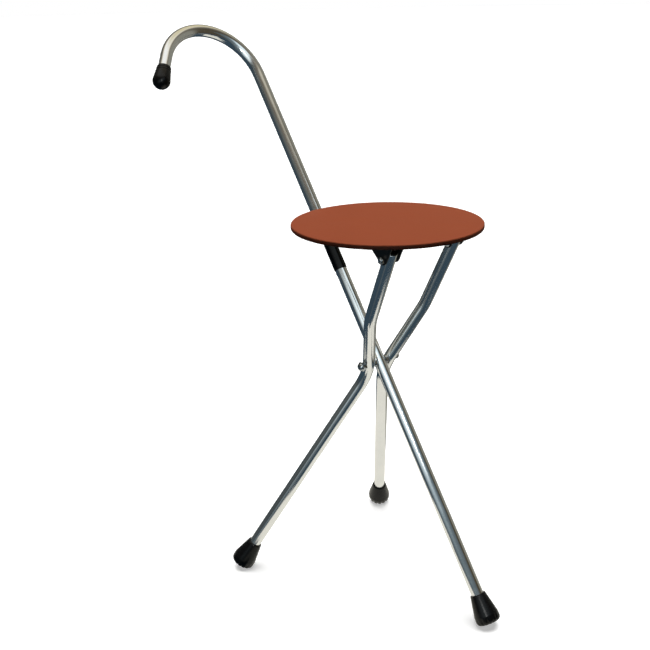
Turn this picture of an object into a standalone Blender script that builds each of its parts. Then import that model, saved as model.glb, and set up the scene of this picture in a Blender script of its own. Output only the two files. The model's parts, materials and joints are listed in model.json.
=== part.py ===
"""Folding walking-stick stool: a cane with a crook handle, two bent legs and a round seat that fold flat.

Metres, +Z up. The cane leans towards +X in the plane of the fold, the legs stand on either side of it
along Y, and the origin is on the floor in the middle of the stool's box. The legs turn about one bolt
through the cane. The seat is hinged to both leg tops, and to a sleeve that slides on the cane.
"""
import math

import bmesh
import bpy
from mathutils import Matrix, Vector

# Gap between neighbouring pieces
CLEARANCE = 0.0003

# Tubes of the cane and the legs
TUBE_DIAMETER = 0.016
TUBE_WALL = 0.0012

# Fold: the leg-top hinge is one arm's length from the pivot bolt and one arm's length from the sleeve hinge
CANE_TILT = math.radians(32.77)
PIVOT_HEIGHT = 0.3135
FOLD_ARM_LENGTH = 0.1807

# Straight run of the cane above the pivot, then its crook
CANE_UPPER_LENGTH = 0.4251
CROOK_RADIUS = 0.0735
CROOK_SWEEP = math.radians(147)
CROOK_TAIL = 0.046

# Legs: half spacings are from the middle plane, height and depth are from the pivot along the leg
HINGE_HALF_SPACING = 0.0579
UPPER_BEND_HEIGHT = 0.0821
UPPER_BEND_HALF_SPACING = 0.0502
LOWER_BEND_DEPTH = 0.0168
LOWER_BEND_HALF_SPACING = 0.013
FOOT_HALF_SPACING = 0.1422
BEND_RADIUS = 0.065
LEG_END_BEYOND_HINGE = 0.0097

# Seat
SEAT_DIAMETER = 0.243
SEAT_THICKNESS = 0.006
SEAT_EDGE_RADIUS = 0.0015
SEAT_ABOVE_HINGE = 0.020
SEAT_RIM_PAST_SLEEVE_HINGE = 0.001

# Rubber ferrules on the three feet
FERRULE_LENGTH = 0.039
FERRULE_MOUTH_DIAMETER = 0.020
FERRULE_FOOT_DIAMETER = 0.0322
FERRULE_EDGE_RADIUS = 0.0052
FERRULE_SHOULDER_HEIGHT = 0.011
FERRULE_SOLE = 0.010
FERRULE_WEAR = 0.0008
FERRULE_DISC_THICKNESS = 0.0015

# Rubber cap on the end of the crook
CAP_LENGTH = 0.0322
CAP_MOUTH_DIAMETER = 0.0185
CAP_WIDEST_DIAMETER = 0.0233
CAP_DOME_HEIGHT = 0.011
CAP_END_WALL = 0.006

# Main pivot
PIVOT_BOLT_DIAMETER = 0.006
PIVOT_HEAD_DIAMETER = 0.0105
PIVOT_HEAD_HEIGHT = 0.004
PIVOT_WASHER_DIAMETER = 0.010
PIVOT_WASHER_LEAST = 0.0006
PIVOT_SPACER_DIAMETER = 0.010
CAP_NUT_WIDTH = 0.0112
CAP_NUT_HEX_HEIGHT = 0.0032
CAP_NUT_HEIGHT = 0.0066
CAP_NUT_CROWN = 0.0016
CAP_NUT_DOME_DIAMETER = 0.0105

# Brackets of bent strip under the seat; the inner length is from the hinge towards the cane
STRIP_THICKNESS = 0.002
BRACKET_INNER_LENGTH = 0.026
BRACKET_OUTER_LENGTH = 0.015
BRACKET_SIDE_GAP = 0.0015
EAR_RADIUS = 0.006
HINGE_BOLT_DIAMETER = 0.005
HINGE_HEAD_DIAMETER = 0.009
HINGE_HEAD_HEIGHT = 0.0032
HINGE_NUT_WIDTH = 0.008
HINGE_NUT_HEIGHT = 0.004
HINGE_BOLT_PROUD = 0.0008

# Screws that hold the brackets to the seat
SCREW_DIAMETER = 0.0035
SCREW_HEAD_DIAMETER = 0.0068
SCREW_HEAD_HEIGHT = 0.002
SCREW_DEPTH = 0.0038
SCREW_SPACING = 0.022

# Plug in the top of each leg
PLUG_LENGTH = 0.014
PLUG_FLANGE = 0.0015

# Sleeve that slides on the cane, measured from its hinge, and its bracket
SLEEVE_WALL = 0.0005
SLEEVE_BELOW_HINGE = 0.0626
SLEEVE_ABOVE_HINGE = 0.012
COLLAR_DIAMETER = 0.024
COLLAR_HALF_LENGTH = 0.009
COLLAR_CHAMFER = 0.0015
COLLAR_SIDE_GAP = 0.0008
SLIDE_BRACKET_LENGTH = 0.038
SLIDE_BRACKET_SETBACK = 0.004
TRUNNION_DIAMETER = 0.004
TRUNNION_HEAD_DIAMETER = 0.008
TRUNNION_HEAD_HEIGHT = 0.0024

# Rivet that stops the sleeve when the stool is open
RIVET_DIAMETER = 0.004
RIVET_HEAD_DIAMETER = 0.007
RIVET_HEAD_HEIGHT = 0.0022

# Finishes: linear colour, roughness, metallic
FINISHES = {
    "aluminium": ((0.80, 0.81, 0.82), 0.18, 1),
    "seat_plastic": ((0.35, 0.09, 0.042), 0.42, 0),
    "rubber": ((0.012, 0.012, 0.013), 0.55, 0),
    "black_plastic": ((0.014, 0.014, 0.015), 0.35, 0),
    "black_steel": ((0.015, 0.015, 0.016), 0.40, 0),
    "zinc": ((0.45, 0.47, 0.49), 0.28, 1),
}

# Facets
TUBE_SIDES = 24
RUBBER_SIDES = 32
SEAT_SIDES = 72
SMALL_SIDES = 16
BEND_STEP = math.radians(7)
ROUND_STEPS = 4
SMOOTH_ANGLE = math.radians(35)

# Worked-out sizes
TUBE_RADIUS = TUBE_DIAMETER / 2
BORE_RADIUS = TUBE_RADIUS - TUBE_WALL
SOCKET_RADIUS = TUBE_RADIUS + CLEARANCE
LEG_TILT = math.pi / 2 - 2 * CANE_TILT
CANE_BELOW_PIVOT = PIVOT_HEIGHT / math.cos(CANE_TILT)
LEG_BELOW_PIVOT = PIVOT_HEIGHT / math.cos(LEG_TILT)
SLEEVE_HINGE_HEIGHT = 2 * FOLD_ARM_LENGTH * math.cos(LEG_TILT + CANE_TILT)
HEXAGON_RATIO = math.cos(math.radians(30))
CAP_NUT_CORNERS = CAP_NUT_WIDTH / HEXAGON_RATIO
SEAT_CENTRE_FROM_HINGE = FOLD_ARM_LENGTH + SEAT_RIM_PAST_SLEEVE_HINGE - SEAT_DIAMETER / 2
BRACKET_TOP = SEAT_ABOVE_HINGE - CLEARANCE
BRACKET_HALF_GAP = TUBE_RADIUS + BRACKET_SIDE_GAP
SLIDE_HALF_GAP = COLLAR_DIAMETER / 2 + COLLAR_SIDE_GAP

X_AXIS = Vector((1, 0, 0))
Y_AXIS = Vector((0, 1, 0))
Z_AXIS = Vector((0, 0, 1))


# Building blocks

def aligned(origin, direction):
    """Matrix that carries the local +Z axis to a direction at an origin."""
    turn = direction.to_track_quat("Z", "Y").to_matrix().to_4x4()
    return Matrix.Translation(origin) @ turn


def add_body(shape, source, place):
    """Add one closed body to a shape, with its faces turned outwards."""
    bmesh.ops.recalc_face_normals(source, faces=source.faces)
    copy = bpy.data.meshes.new("copy")
    source.to_mesh(copy)
    source.free()
    copy.transform(place)
    shape.from_mesh(copy)
    bpy.data.meshes.remove(copy)


def add_turned(shape, profile, sides, place, closed=False):
    """Turn a profile of (radius, height) points about Z, then put it in its place."""
    turned = bmesh.new()
    points = [turned.verts.new((radius, 0, height)) for radius, height in profile]
    edges = [turned.edges.new(pair) for pair in zip(points, points[1:])]
    if closed:
        edges.append(turned.edges.new((points[-1], points[0])))
    bmesh.ops.spin(turned, geom=points + edges, axis=Z_AXIS, cent=(0, 0, 0),
                   angle=2 * math.pi, steps=sides, use_merge=True)
    bmesh.ops.remove_doubles(turned, verts=turned.verts, dist=1e-7)
    add_body(shape, turned, place)


def add_rod(shape, radius, start, end, sides=SMALL_SIDES):
    """Plain round rod between two points."""
    along = end - start
    profile = [(0, 0), (radius, 0), (radius, along.length), (0, along.length)]
    add_turned(shape, profile, sides, aligned(start, along.normalized()))


def rod(radius, start, end, sides=SMALL_SIDES):
    shape = bmesh.new()
    add_rod(shape, radius, start, end, sides)
    return shape


def prism(outline, depth):
    """Flat outline of points, extruded by a vector."""
    shape = bmesh.new()
    face = shape.faces.new([shape.verts.new(point) for point in outline])
    grown = bmesh.ops.extrude_face_region(shape, geom=[face])
    moved = [item for item in grown["geom"] if isinstance(item, bmesh.types.BMVert)]
    bmesh.ops.translate(shape, verts=moved, vec=depth)
    bmesh.ops.recalc_face_normals(shape, faces=shape.faces)
    return shape


def dome(radius, height, steps=ROUND_STEPS):
    """Profile of a dome, from its crown on the axis at height 0 out to its rim."""
    points = []
    for i in range(steps + 1):
        angle = math.pi / 2 * i / steps
        points.append((radius * math.sin(angle), height * (1 - math.cos(angle))))
    return points


def arc(centre_radius, centre_height, radius, first, last):
    """Profile points round an arc, angles in degrees from the radial direction."""
    points = []
    for i in range(ROUND_STEPS + 1):
        angle = math.radians(first + (last - first) * i / ROUND_STEPS)
        points.append((centre_radius + radius * math.cos(angle), centre_height + radius * math.sin(angle)))
    return points


def add_bolt(shape, under_head, direction, head_diameter, head_height, diameter, length):
    """Round-headed bolt, screw or rivet whose shank runs in a direction from under its head."""
    profile = [(radius, height - head_height) for radius, height in dome(head_diameter / 2, head_height)]
    profile += [(diameter / 2, 0), (diameter / 2, length), (0, length)]
    add_turned(shape, profile, SMALL_SIDES, aligned(under_head, direction))


def join_rings(shape, first, second):
    count = len(first)
    for i in range(count):
        j = (i + 1) % count
        shape.faces.new((first[i], first[j], second[j], second[i]))


def add_rings(shape, path, radius):
    """Rings of points round a path in the YZ plane, joined by faces; returns the end rings."""
    rings = []
    for point, direction in path:
        side = direction.cross(X_AXIS)
        ring = []
        for i in range(TUBE_SIDES):
            angle = 2 * math.pi * i / TUBE_SIDES
            outward = math.cos(angle) * X_AXIS + math.sin(angle) * side
            ring.append(shape.verts.new(point + radius * outward))
        rings.append(ring)
    for first, second in zip(rings, rings[1:]):
        join_rings(shape, first, second)
    return rings[0], rings[-1]


def tube_along(path, radius, bore):
    shape = bmesh.new()
    outer_ends = add_rings(shape, path, radius)
    inner_ends = add_rings(shape, path, bore)
    for outer, inner in zip(outer_ends, inner_ends):
        join_rings(shape, outer, inner)
    bmesh.ops.recalc_face_normals(shape, faces=shape.faces)
    return shape


def bar_along(path, radius):
    shape = bmesh.new()
    for end in add_rings(shape, path, radius):
        shape.faces.new(end)
    bmesh.ops.recalc_face_normals(shape, faces=shape.faces)
    return shape


def bend(start, arrive, inward, radius, turn):
    """Points and directions round a bend, from its first point to its last."""
    steps = max(2, math.ceil(turn / BEND_STEP))
    centre = start + inward * radius
    path = []
    for i in range(steps + 1):
        angle = turn * i / steps
        point = centre - inward * radius * math.cos(angle) + arrive * radius * math.sin(angle)
        path.append((point, arrive * math.cos(angle) + inward * math.sin(angle)))
    return path


def rounded_path(corners, radius):
    """Straight runs between corners, with a round bend at each inner corner."""
    path = [(corners[0], (corners[1] - corners[0]).normalized())]
    for before, corner, after in zip(corners, corners[1:], corners[2:]):
        arrive = (corner - before).normalized()
        leave = (after - corner).normalized()
        turn = arrive.angle(leave)
        inward = (leave - arrive * arrive.dot(leave)).normalized()
        start = corner - arrive * radius * math.tan(turn / 2)
        path += bend(start, arrive, inward, radius, turn)
    path.append((corners[-1], (corners[-1] - corners[-2]).normalized()))
    return path


def crossing(path, height):
    """Half spacing of a leg's axis and of its outer surface at a height in its own frame."""
    for (above, _), (below, _) in zip(path, path[1:]):
        if above.z >= height > below.z:
            middle = above.lerp(below, (above.z - height) / (above.z - below.z))
            slant = (below - above).angle(-Z_AXIS)
            return abs(middle.y), abs(middle.y) + TUBE_RADIUS / math.cos(slant)
    raise ValueError("the leg does not reach this height")


def hexagon(width, middle):
    """Corners of a hexagon of a width across flats, square to Y."""
    radius = width / HEXAGON_RATIO / 2
    corners = []
    for i in range(6):
        angle = i * math.pi / 3
        corners.append(middle + radius * Vector((math.cos(angle), 0, math.sin(angle))))
    return corners


def make_material(name, colour, roughness, metallic):
    material = bpy.data.materials.new(name)
    material.use_nodes = True
    shader = material.node_tree.nodes["Principled BSDF"]
    shader.inputs["Base Color"].default_value = (*colour, 1)
    shader.inputs["Roughness"].default_value = roughness
    shader.inputs["Metallic"].default_value = metallic
    material.diffuse_color = (*colour, 1)
    return material


def piece(name, shape, finish, frame):
    """Named object from a shape, in a frame's own coordinates, with its own material."""
    mesh = bpy.data.meshes.new(name)
    shape.to_mesh(mesh)
    shape.free()
    made = bpy.data.objects.new(name, mesh)
    bpy.context.collection.objects.link(made)
    mesh.materials.append(make_material(name, *FINISHES[finish]))
    mesh.shade_smooth()
    mesh.set_sharp_from_angle(angle=SMOOTH_ANGLE)
    made.parent = frame
    return made


def carve(target, tool_shape, operation="DIFFERENCE"):
    """Cut a tool out of a piece, or join it to the piece, and keep the result as the piece's mesh."""
    tool_mesh = bpy.data.meshes.new("tool")
    tool_shape.to_mesh(tool_mesh)
    tool_shape.free()
    tool = bpy.data.objects.new("tool", tool_mesh)
    bpy.context.collection.objects.link(tool)
    tool.parent = target.parent
    modifier = target.modifiers.new("carve", "BOOLEAN")
    modifier.operation = operation
    modifier.solver = "EXACT"
    modifier.object = tool
    bpy.context.view_layer.update()
    evaluated = target.evaluated_get(bpy.context.evaluated_depsgraph_get())
    result = bpy.data.meshes.new_from_object(evaluated)
    before = target.data
    target.modifiers.clear()
    target.data = result
    bpy.data.meshes.remove(before)
    result.name = target.name
    result.shade_smooth()
    result.set_sharp_from_angle(angle=SMOOTH_ANGLE)
    bpy.data.objects.remove(tool)
    bpy.data.meshes.remove(tool_mesh)


def frame_empty(name, parent, location, tilt):
    """Empty on a joint's axis, tilted about Y."""
    empty = bpy.data.objects.new(name, None)
    bpy.context.collection.objects.link(empty)
    empty.parent = parent
    empty.location = location
    empty.rotation_euler = (0, tilt, 0)
    return empty


# Feet and end cap

def add_ferrule(name, floor_point, up, floor_normal, frame):
    """Ferrule and its steel disc, on an axis that meets the floor at a point.

    The sole stands on its edge, worn flat. Returns how far up the axis the tube may start."""
    lean = up.angle(floor_normal)
    rim = FERRULE_FOOT_DIAMETER / 2 - FERRULE_EDGE_RADIUS
    edge_height = FERRULE_EDGE_RADIUS * (math.cos(lean) - 1) - rim * math.sin(lean)
    lift = (-edge_height - FERRULE_WEAR) / math.cos(lean)
    sole = floor_point + up * lift
    profile = [(0, 0)]
    profile += arc(rim, FERRULE_EDGE_RADIUS, FERRULE_EDGE_RADIUS, -90, 0)
    profile += [(FERRULE_FOOT_DIAMETER / 2, FERRULE_SHOULDER_HEIGHT),
                (FERRULE_MOUTH_DIAMETER / 2, FERRULE_LENGTH),
                (SOCKET_RADIUS, FERRULE_LENGTH),
                (SOCKET_RADIUS, FERRULE_SOLE),
                (0, FERRULE_SOLE)]
    shape = bmesh.new()
    add_turned(shape, profile, RUBBER_SIDES, aligned(sole, up))
    everything = shape.verts[:] + shape.edges[:] + shape.faces[:]
    cut = bmesh.ops.bisect_plane(shape, geom=everything, plane_co=floor_point, plane_no=floor_normal,
                                 clear_inner=True)
    border = [item for item in cut["geom_cut"] if isinstance(item, bmesh.types.BMEdge)]
    bmesh.ops.edgeloop_fill(shape, edges=border)
    bmesh.ops.recalc_face_normals(shape, faces=shape.faces)
    piece(name, shape, "rubber", frame)
    disc_start = FERRULE_SOLE + CLEARANCE
    disc_end = disc_start + FERRULE_DISC_THICKNESS
    disc = rod(TUBE_RADIUS, sole + up * disc_start, sole + up * disc_end, TUBE_SIDES)
    piece(name + "_disc", disc, "zinc", frame)
    return lift + disc_end + CLEARANCE


def add_handle_cap(tube_end, outward, frame):
    """Rounded cap over the end of the crook."""
    crown = tube_end + outward * (CLEARANCE + CAP_END_WALL)
    profile = dome(CAP_WIDEST_DIAMETER / 2, CAP_DOME_HEIGHT, 2 * ROUND_STEPS)
    profile += [(CAP_MOUTH_DIAMETER / 2, CAP_LENGTH),
                (SOCKET_RADIUS, CAP_LENGTH),
                (SOCKET_RADIUS, CAP_END_WALL),
                (0, CAP_END_WALL)]
    shape = bmesh.new()
    add_turned(shape, profile, RUBBER_SIDES, aligned(crown, -outward))
    piece("handle_cap", shape, "rubber", frame)


# Cane, with the pivot bolt that the legs turn on

def build_cane(frame, nut_seat):
    floor_point = -Z_AXIS * CANE_BELOW_PIVOT
    floor_normal = Vector((-math.sin(CANE_TILT), 0, math.cos(CANE_TILT)))
    start = add_ferrule("cane_ferrule", floor_point, Z_AXIS, floor_normal, frame)
    path = [(floor_point + Z_AXIS * start, Z_AXIS)]
    path += bend(Z_AXIS * CANE_UPPER_LENGTH, Z_AXIS, Y_AXIS, CROOK_RADIUS, CROOK_SWEEP)
    bend_end, outward = path[-1]
    tube_end = bend_end + outward * CROOK_TAIL
    path.append((tube_end, outward))
    tube = piece("cane_tube", tube_along(path, TUBE_RADIUS, BORE_RADIUS), "aluminium", frame)
    add_handle_cap(tube_end, outward, frame)
    pivot_hole = PIVOT_BOLT_DIAMETER / 2 + CLEARANCE
    carve(tube, rod(pivot_hole, -Y_AXIS * TUBE_DIAMETER, Y_AXIS * TUBE_DIAMETER))

    stop_height = SLEEVE_HINGE_HEIGHT - SLEEVE_BELOW_HINGE - CLEARANCE - RIVET_HEAD_DIAMETER / 2
    stop = Z_AXIS * stop_height
    carve(tube, rod(RIVET_DIAMETER / 2 + CLEARANCE, stop, stop + X_AXIS * TUBE_DIAMETER))
    rivet = bmesh.new()
    add_bolt(rivet, stop + X_AXIS * SOCKET_RADIUS, -X_AXIS, RIVET_HEAD_DIAMETER, RIVET_HEAD_HEIGHT,
             RIVET_DIAMETER, 2 * TUBE_WALL)
    piece("sleeve_stop_rivet", rivet, "aluminium", frame)

    nut_bore = CAP_NUT_HEIGHT - CAP_NUT_CROWN
    bolt = bmesh.new()
    add_bolt(bolt, -Y_AXIS * nut_seat, Y_AXIS, PIVOT_HEAD_DIAMETER, PIVOT_HEAD_HEIGHT,
             PIVOT_BOLT_DIAMETER, 2 * nut_seat + nut_bore - CLEARANCE)
    piece("pivot_bolt", bolt, "zinc", frame)
    hexagonal = prism(hexagon(CAP_NUT_WIDTH, Y_AXIS * nut_seat), Y_AXIS * CAP_NUT_HEX_HEIGHT)
    nut = piece("pivot_cap_nut", hexagonal, "zinc", frame)
    crown = bmesh.new()
    dome_radius = CAP_NUT_DOME_DIAMETER / 2
    buried = CAP_NUT_HEX_HEIGHT / 2
    crown_profile = dome(dome_radius, CAP_NUT_HEIGHT - CAP_NUT_HEX_HEIGHT)
    crown_profile += [(dome_radius, CAP_NUT_HEIGHT - buried), (0, CAP_NUT_HEIGHT - buried)]
    add_turned(crown, crown_profile, SMALL_SIDES, aligned(Y_AXIS * (nut_seat + CAP_NUT_HEIGHT), -Y_AXIS))
    carve(nut, crown, "UNION")
    carve(nut, rod(pivot_hole, Y_AXIS * nut_seat / 2, Y_AXIS * (nut_seat + nut_bore)))


# Legs

def leg_corners(side):
    """Top end, bends and floor point of a leg; side is 1 for the left leg and -1 for the right."""
    hinge = Vector((0, side * HINGE_HALF_SPACING, FOLD_ARM_LENGTH))
    upper = Vector((0, side * UPPER_BEND_HALF_SPACING, UPPER_BEND_HEIGHT))
    lower = Vector((0, side * LOWER_BEND_HALF_SPACING, -LOWER_BEND_DEPTH))
    foot = Vector((0, side * FOOT_HALF_SPACING, -LEG_BELOW_PIVOT))
    top = hinge + (hinge - upper).normalized() * LEG_END_BEYOND_HINGE
    return top, upper, lower, foot


def build_leg(name, side, frame):
    """Leg tube with its foot, plug, spacer and washer; returns how far out the washer's face is."""
    top, upper, lower, foot = leg_corners(side)
    foot_up = (lower - foot).normalized()
    floor_normal = Vector((math.sin(LEG_TILT), 0, math.cos(LEG_TILT)))
    start = add_ferrule(name + "_ferrule", foot, foot_up, floor_normal, frame)
    path = rounded_path([top, upper, lower, foot + foot_up * start], BEND_RADIUS)
    tube = piece(name + "_leg_tube", tube_along(path, TUBE_RADIUS, BORE_RADIUS), "aluminium", frame)
    outward = side * Y_AXIS

    def pivot_hole():
        return rod(PIVOT_BOLT_DIAMETER / 2 + CLEARANCE, -outward * TUBE_RADIUS, outward * 4 * TUBE_DIAMETER)

    def hinge_hole():
        middle = outward * HINGE_HALF_SPACING + Z_AXIS * FOLD_ARM_LENGTH
        reach = outward * TUBE_DIAMETER
        return rod(HINGE_BOLT_DIAMETER / 2 + CLEARANCE, middle - reach, middle + reach)

    carve(tube, pivot_hole())
    carve(tube, hinge_hole())

    up = (top - upper).normalized()
    plug_radius = BORE_RADIUS - CLEARANCE
    plug_profile = [(0, -PLUG_LENGTH), (plug_radius, -PLUG_LENGTH), (plug_radius, CLEARANCE),
                    (TUBE_RADIUS, CLEARANCE), (TUBE_RADIUS, CLEARANCE + PLUG_FLANGE),
                    (0, CLEARANCE + PLUG_FLANGE)]
    shape = bmesh.new()
    add_turned(shape, plug_profile, TUBE_SIDES, aligned(top, up))
    plug = piece(name + "_leg_plug", shape, "black_plastic", frame)
    carve(plug, hinge_hole())

    half_spacing = crossing(path, 0)[0]
    reach = max(PIVOT_HEAD_DIAMETER, PIVOT_WASHER_DIAMETER, CAP_NUT_CORNERS) / 2
    outer_faces = [crossing(path, height)[1] for height in (-reach, 0, reach)]
    washer_face = max(outer_faces) + PIVOT_WASHER_LEAST
    spacer = piece(name + "_pivot_spacer",
                   rod(PIVOT_SPACER_DIAMETER / 2, outward * SOCKET_RADIUS, outward * half_spacing),
                   "zinc", frame)
    washer = piece(name + "_pivot_washer",
                   rod(PIVOT_WASHER_DIAMETER / 2, outward * half_spacing, outward * washer_face),
                   "zinc", frame)
    for saddle in (spacer, washer):
        carve(saddle, bar_along(path, SOCKET_RADIUS))
        carve(saddle, pivot_hole())
    return washer_face


# Seat with its brackets

def bracket_outline(left, right):
    """Side outline of a bracket about its pin: a base under the seat, tapering to a round ear."""
    base = BRACKET_TOP - STRIP_THICKNESS

    def tangent_angle(corner, turn):
        spread = math.acos(EAR_RADIUS / math.hypot(corner, base))
        return math.atan2(base, corner) + turn * spread

    first = tangent_angle(right, -1)
    last = tangent_angle(left, 1) - 2 * math.pi
    steps = 4 * ROUND_STEPS
    outline = [(left, base), (left, BRACKET_TOP), (right, BRACKET_TOP), (right, base)]
    for i in range(steps + 1):
        angle = first + (last - first) * i / steps
        outline.append((EAR_RADIUS * math.cos(angle), EAR_RADIUS * math.sin(angle)))
    return outline


def add_bracket(name, pin, left, right, half_gap, pin_diameter, seat_holes, frame):
    """Strip bent into a channel about its pin, and its screws; adds their holes to a shape for the seat."""
    half_width = half_gap + STRIP_THICKNESS
    outline = [pin + Vector((x, -half_width, z)) for x, z in bracket_outline(left, right)]
    bracket = piece(name, prism(outline, Y_AXIS * 2 * half_width), "black_steel", frame)
    base = BRACKET_TOP - STRIP_THICKNESS
    reach = 2 * max(-left, right)
    mouth = [(-reach, -reach), (reach, -reach), (reach, base), (-reach, base)]
    carve(bracket, prism([pin + Vector((x, -half_gap, z)) for x, z in mouth], Y_AXIS * 2 * half_gap))
    through = Y_AXIS * 2 * half_width
    carve(bracket, rod(pin_diameter / 2 + CLEARANCE, pin - through, pin + through))
    head_seat = base - CLEARANCE
    tip = SEAT_ABOVE_HINGE + SCREW_DEPTH
    strip_holes = bmesh.new()
    for number, offset in enumerate((-SCREW_SPACING / 2, SCREW_SPACING / 2), 1):
        place = pin + X_AXIS * ((left + right) / 2 + offset)
        for holes in (strip_holes, seat_holes):
            add_rod(holes, SCREW_DIAMETER / 2 + CLEARANCE, place, place + Z_AXIS * (tip + CLEARANCE))
        screw = bmesh.new()
        add_bolt(screw, place + Z_AXIS * head_seat, Z_AXIS, SCREW_HEAD_DIAMETER, SCREW_HEAD_HEIGHT,
                 SCREW_DIAMETER, tip - head_seat)
        piece(f"{name}_screw_{number}", screw, "zinc", frame)
    carve(bracket, strip_holes)


def add_hinge_bolt(name, side, frame):
    """Bolt through a bracket's ears and a leg top, its head on the inside and its nut on the outside."""
    outward = side * Y_AXIS
    middle = outward * HINGE_HALF_SPACING
    head_seat = BRACKET_HALF_GAP + STRIP_THICKNESS + CLEARANCE
    bolt = bmesh.new()
    add_bolt(bolt, middle - outward * head_seat, outward, HINGE_HEAD_DIAMETER, HINGE_HEAD_HEIGHT,
             HINGE_BOLT_DIAMETER, 2 * head_seat + HINGE_NUT_HEIGHT + HINGE_BOLT_PROUD)
    piece(name + "_hinge_bolt", bolt, "zinc", frame)
    seat = middle + outward * head_seat
    nut = piece(name + "_hinge_nut", prism(hexagon(HINGE_NUT_WIDTH, seat), outward * HINGE_NUT_HEIGHT),
                "zinc", frame)
    hole = rod(HINGE_BOLT_DIAMETER / 2 + CLEARANCE, seat - outward * HINGE_NUT_HEIGHT,
               seat + outward * 2 * HINGE_NUT_HEIGHT)
    carve(nut, hole)


def build_seat(frame):
    """Everything that turns with the seat, in a frame on the leg-top hinge with +X towards the cane."""
    radius = SEAT_DIAMETER / 2
    edge = SEAT_EDGE_RADIUS
    bottom = SEAT_ABOVE_HINGE
    top = bottom + SEAT_THICKNESS
    profile = [(0, bottom)]
    profile += arc(radius - edge, bottom + edge, edge, -90, 0)
    profile += arc(radius - edge, top - edge, edge, 0, 90)
    profile.append((0, top))
    shape = bmesh.new()
    add_turned(shape, profile, SEAT_SIDES, Matrix.Translation(X_AXIS * SEAT_CENTRE_FROM_HINGE))
    seat = piece("seat_disc", shape, "seat_plastic", frame)

    holes = bmesh.new()
    for name, side in (("left", 1), ("right", -1)):
        pin = side * HINGE_HALF_SPACING * Y_AXIS
        add_bracket(name + "_bracket", pin, -BRACKET_OUTER_LENGTH, BRACKET_INNER_LENGTH, BRACKET_HALF_GAP,
                    HINGE_BOLT_DIAMETER, holes, frame)
        add_hinge_bolt(name, side, frame)
    right = -SLIDE_BRACKET_SETBACK
    left = right - SLIDE_BRACKET_LENGTH
    add_bracket("slide_bracket", FOLD_ARM_LENGTH * X_AXIS, left, right, SLIDE_HALF_GAP, TRUNNION_DIAMETER,
                holes, frame)
    carve(seat, holes)


# Sleeve that joins the seat to the cane

def build_sleeve(frame):
    outer = SOCKET_RADIUS + SLEEVE_WALL
    collar = COLLAR_DIAMETER / 2
    half = COLLAR_HALF_LENGTH
    chamfer = COLLAR_CHAMFER
    profile = [(SOCKET_RADIUS, -SLEEVE_BELOW_HINGE), (outer, -SLEEVE_BELOW_HINGE), (outer, -half),
               (collar - chamfer, -half), (collar, chamfer - half), (collar, half - chamfer),
               (collar - chamfer, half), (outer, half), (outer, SLEEVE_ABOVE_HINGE),
               (SOCKET_RADIUS, SLEEVE_ABOVE_HINGE)]
    shape = bmesh.new()
    add_turned(shape, profile, RUBBER_SIDES, Matrix.Identity(4), closed=True)
    sleeve = piece("slide_sleeve", shape, "black_plastic", frame)
    through = Y_AXIS * COLLAR_DIAMETER
    carve(sleeve, rod(TRUNNION_DIAMETER / 2 + CLEARANCE, -through, through))
    head_seat = SLIDE_HALF_GAP + STRIP_THICKNESS + CLEARANCE
    for name, outward in (("left", Y_AXIS), ("right", -Y_AXIS)):
        screw = bmesh.new()
        add_bolt(screw, outward * head_seat, -outward, TRUNNION_HEAD_DIAMETER, TRUNNION_HEAD_HEIGHT,
                 TRUNNION_DIAMETER, head_seat - SOCKET_RADIUS - CLEARANCE)
        piece(name + "_trunnion_screw", screw, "zinc", frame)


# Whole stool

def clear_scene():
    for item in list(bpy.data.objects):
        bpy.data.objects.remove(item)


def centre_on_floor(root):
    """Move the stool so that the origin is under the middle of its box."""
    bpy.context.view_layer.update()
    corners = []
    for item in bpy.data.objects:
        if item.type == "MESH":
            corners += [item.matrix_world @ vertex.co for vertex in item.data.vertices]
    middle_x = (min(corner.x for corner in corners) + max(corner.x for corner in corners)) / 2
    middle_y = (min(corner.y for corner in corners) + max(corner.y for corner in corners)) / 2
    root.location = (-middle_x, -middle_y, 0)


def build():
    clear_scene()
    root = frame_empty("stool", None, (0, 0, 0), 0)
    pivot = Z_AXIS * PIVOT_HEIGHT
    cane_frame = frame_empty("cane_frame", root, pivot, CANE_TILT)
    left_frame = frame_empty("left_leg_frame", root, pivot, -LEG_TILT)
    right_frame = frame_empty("right_leg_frame", root, pivot, -LEG_TILT)
    seat_frame = frame_empty("seat_frame", left_frame, Z_AXIS * FOLD_ARM_LENGTH, LEG_TILT)
    sleeve_frame = frame_empty("sleeve_frame", seat_frame, X_AXIS * FOLD_ARM_LENGTH, CANE_TILT)

    washer_face = build_leg("left", 1, left_frame)
    build_leg("right", -1, right_frame)
    build_cane(cane_frame, washer_face + CLEARANCE)
    build_seat(seat_frame)
    build_sleeve(sleeve_frame)
    centre_on_floor(root)


build()
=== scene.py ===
"""Looks of the folding walking-stick stool: smooth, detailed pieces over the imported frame, in a studio."""

import json
import math

import bmesh
import bpy
from mathutils import Matrix, Vector


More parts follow.
